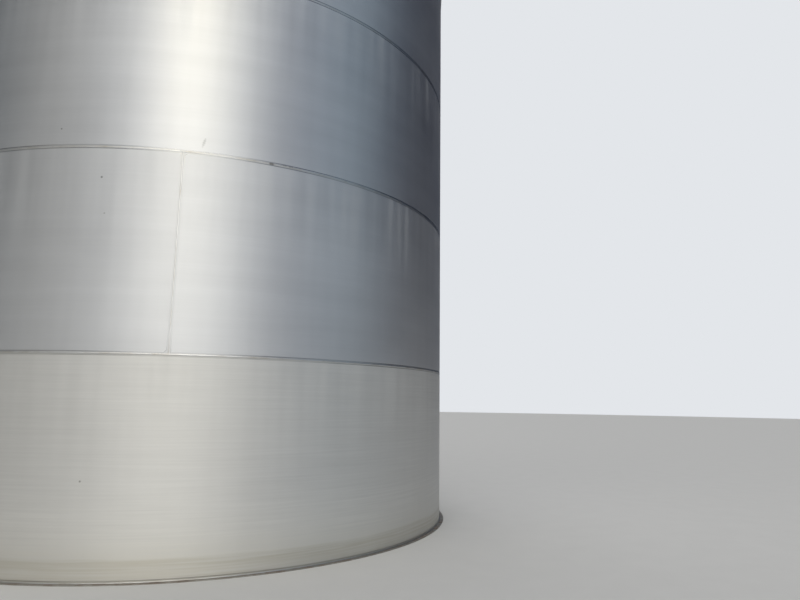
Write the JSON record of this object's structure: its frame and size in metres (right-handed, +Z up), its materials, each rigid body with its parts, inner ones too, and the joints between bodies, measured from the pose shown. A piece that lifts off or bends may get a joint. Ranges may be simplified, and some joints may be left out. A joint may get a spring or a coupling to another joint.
{
  "type": "vertical storage tank",
  "caption": "Flat-bottomed upright cylinder of welded stainless plate with a low cone roof, vent, manways, outlet, ladder and roof guardrails, for storing liquid.",
  "frame": {"origin": "middle of the underside of the bottom plate, at ground level", "axes": "+Z up along the tank's axis; -Y faces the side that the picture shows; the ladder is on the -X side and the manway, outlet and drain are on the +Y side"},
  "size_m": [6.8348, 6.7915, 8.392],
  "materials": {
    "shell_plate": "rolled mill finish, weathered",
    "roof_plate": "rolled mill finish, dusty",
    "fitting_steel": "ground and pickled",
    "ladder_steel": "satin"
  },
  "bodies": {
    "root": {"bottom_plate": "shell_plate", "shell_course_1_plate_a": "shell_plate", "shell_course_1_plate_b": "shell_plate", "shell_course_1_plate_c": "shell_plate", "shell_course_2_plate_a": "shell_plate", "shell_course_2_plate_b": "shell_plate", "shell_course_2_plate_c": "shell_plate", "shell_course_3_plate_a": "shell_plate", "shell_course_3_plate_b": "shell_plate", "shell_course_3_plate_c": "shell_plate", "shell_course_4_plate_a": "shell_plate", "shell_course_4_plate_b": "shell_plate", "shell_course_4_plate_c": "shell_plate", "roof_gore_1": "roof_plate", "roof_gore_2": "roof_plate", "roof_gore_3": "roof_plate", "roof_gore_4": "roof_plate", "roof_gore_5": "roof_plate", "roof_gore_6": "roof_plate", "roof_crown_plate": "roof_plate", "curb_angle": "fitting_steel", "vent_neck": "fitting_steel", "vent_cap": "fitting_steel", "manway_doubler": "fitting_steel", "manway_neck": "fitting_steel", "manway_cover": "fitting_steel", "manway_davit": "fitting_steel", "outlet_neck": "fitting_steel", "outlet_blind_flange": "fitting_steel", "drain_plug": "fitting_steel", "grounding_lug": "fitting_steel", "roof_manway_neck": "fitting_steel", "roof_manway_cover": "fitting_steel", "gauge_hatch_neck": "fitting_steel", "gauge_hatch_lid": "fitting_steel", "lifting_lug_1": "fitting_steel", "lifting_lug_2": "fitting_steel", "ladder_length_1": "ladder_steel", "ladder_length_2": "ladder_steel", "ladder_bracket_1": "ladder_steel", "ladder_bracket_2": "ladder_steel", "ladder_bracket_3": "ladder_steel", "ladder_bracket_4": "ladder_steel", "guardrail_left": "ladder_steel", "guardrail_right": "ladder_steel"}
  },
  "joints": []
}
